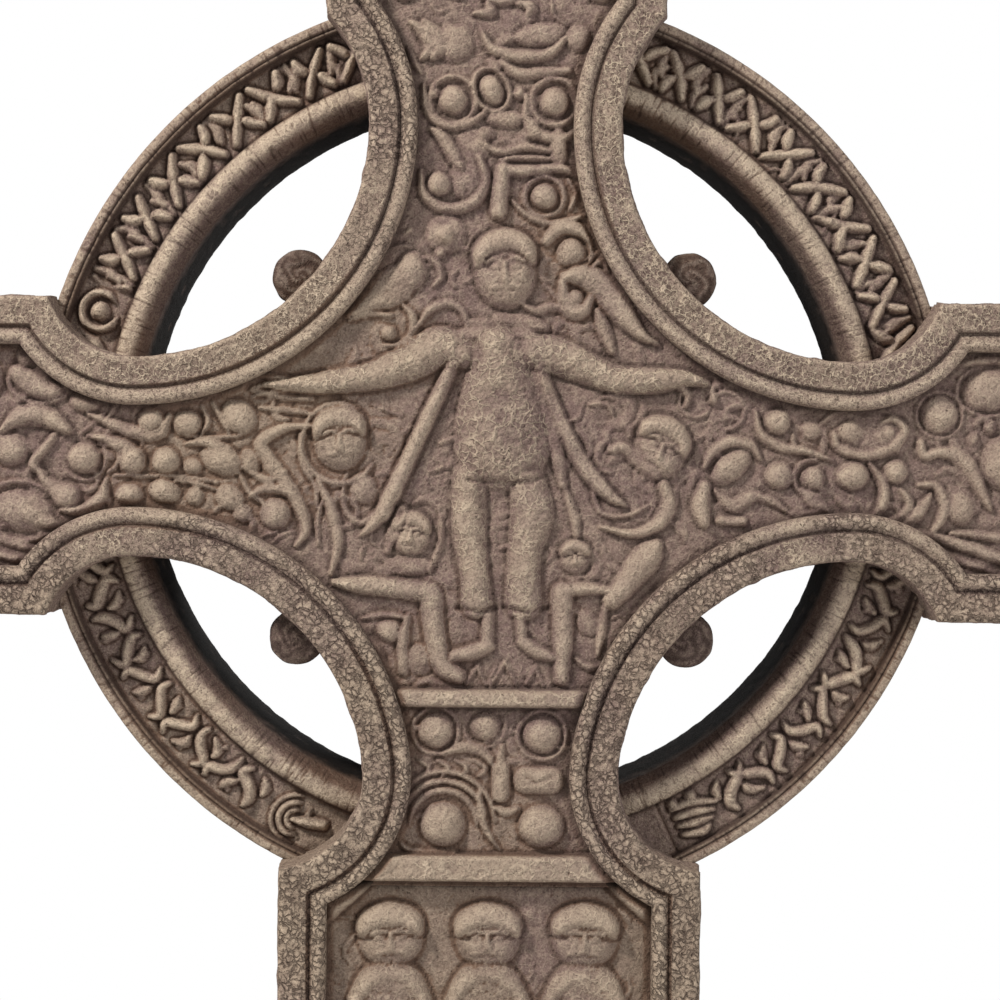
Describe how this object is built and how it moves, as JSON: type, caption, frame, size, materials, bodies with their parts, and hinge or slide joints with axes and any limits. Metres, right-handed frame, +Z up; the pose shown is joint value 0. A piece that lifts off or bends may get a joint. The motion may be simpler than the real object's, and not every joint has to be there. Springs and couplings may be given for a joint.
{
  "type": "ringed stone cross monument",
  "caption": "Upright grave monument: a ringed stone cross carved in relief, with pierced ring, panelled shaft and a separate tapered base block.",
  "frame": {"origin": "centre of the footprint at ground level, under the base block", "axes": "+Z up, the carved front face looks toward -Y, the side arms lie along X"},
  "size_m": [1, 0.5, 2.1],
  "materials": {
    "carved_stone": "weathered grey-brown sandstone, dry cream highlights on the raised carving and dark crust in the hollows",
    "base_stone": "weathered grey-brown sandstone, plainly dressed"
  },
  "bodies": {
    "root": {"cross": "carved_stone", "base": "base_stone"}
  },
  "joints": []
}
